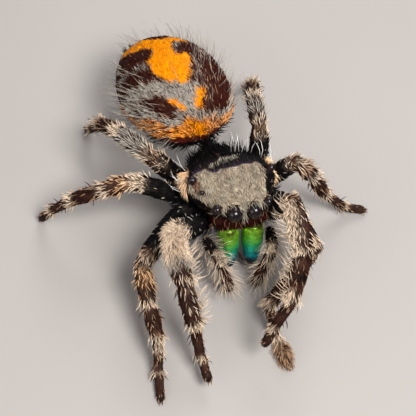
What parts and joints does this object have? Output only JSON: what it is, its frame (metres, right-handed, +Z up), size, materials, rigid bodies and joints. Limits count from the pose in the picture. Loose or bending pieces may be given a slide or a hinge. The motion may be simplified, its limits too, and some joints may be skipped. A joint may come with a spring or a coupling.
{
  "type": "bold jumping spider",
  "caption": "Life-size still model of a bold jumping spider, orange-marked abdomen and green jaws, standing with its front legs lifted.",
  "frame": {"origin": "on the floor, under the middle of the whole spider's outline", "axes": "+Z up; the spider faces -Y, its left is +X and the abdomen lies towards +Y"},
  "size_m": [0.0158, 0.018, 0.0064],
  "materials": {
    "dark_hair": "dark maroon-black body wall with short dark hair",
    "grey_hair": "short dense grey-tan hair on the head",
    "leg_hair": "dark maroon legs with cream and grey bristles",
    "green_scale": "iridescent green to teal, glossy",
    "eye": "polished black lens",
    "claw": "glossy dark red-brown horn"
  },
  "bodies": {
    "root": {"carapace": "grey_hair", "left_front_middle_eye": "eye", "left_front_side_eye": "eye", "left_small_eye": "eye", "left_rear_side_eye": "eye", "right_front_middle_eye": "eye", "right_front_side_eye": "eye", "right_small_eye": "eye", "right_rear_side_eye": "eye", "sternum": "dark_hair", "left_chelicera": "green_scale", "left_fang": "claw", "left_palp_femur": "leg_hair", "left_palp_foot": "leg_hair", "right_chelicera": "green_scale", "right_fang": "claw", "right_palp_femur": "leg_hair", "right_palp_foot": "leg_hair", "pedicel": "dark_hair", "abdomen": "dark_hair", "spinnerets": "dark_hair", "left_leg_1_femur": "leg_hair", "left_leg_1_patella": "leg_hair", "left_leg_1_tibia": "leg_hair", "left_leg_1_foot": "leg_hair", "left_leg_2_femur": "leg_hair", "left_leg_2_patella": "leg_hair", "left_leg_2_tibia": "leg_hair", "left_leg_2_foot": "leg_hair", "left_leg_3_femur": "leg_hair", "left_leg_3_patella": "leg_hair", "left_leg_3_tibia": "leg_hair", "left_leg_3_foot": "leg_hair", "left_leg_4_femur": "leg_hair", "left_leg_4_patella": "leg_hair", "left_leg_4_tibia": "leg_hair", "left_leg_4_foot": "leg_hair", "right_leg_1_femur": "leg_hair", "right_leg_1_patella": "leg_hair", "right_leg_1_tibia": "leg_hair", "right_leg_1_foot": "leg_hair", "right_leg_2_femur": "leg_hair", "right_leg_2_patella": "leg_hair", "right_leg_2_tibia": "leg_hair", "right_leg_2_foot": "leg_hair", "right_leg_3_femur": "leg_hair", "right_leg_3_patella": "leg_hair", "right_leg_3_tibia": "leg_hair", "right_leg_3_foot": "leg_hair", "right_leg_4_femur": "leg_hair", "right_leg_4_patella": "leg_hair", "right_leg_4_tibia": "leg_hair", "right_leg_4_foot": "leg_hair"}
  },
  "joints": []
}
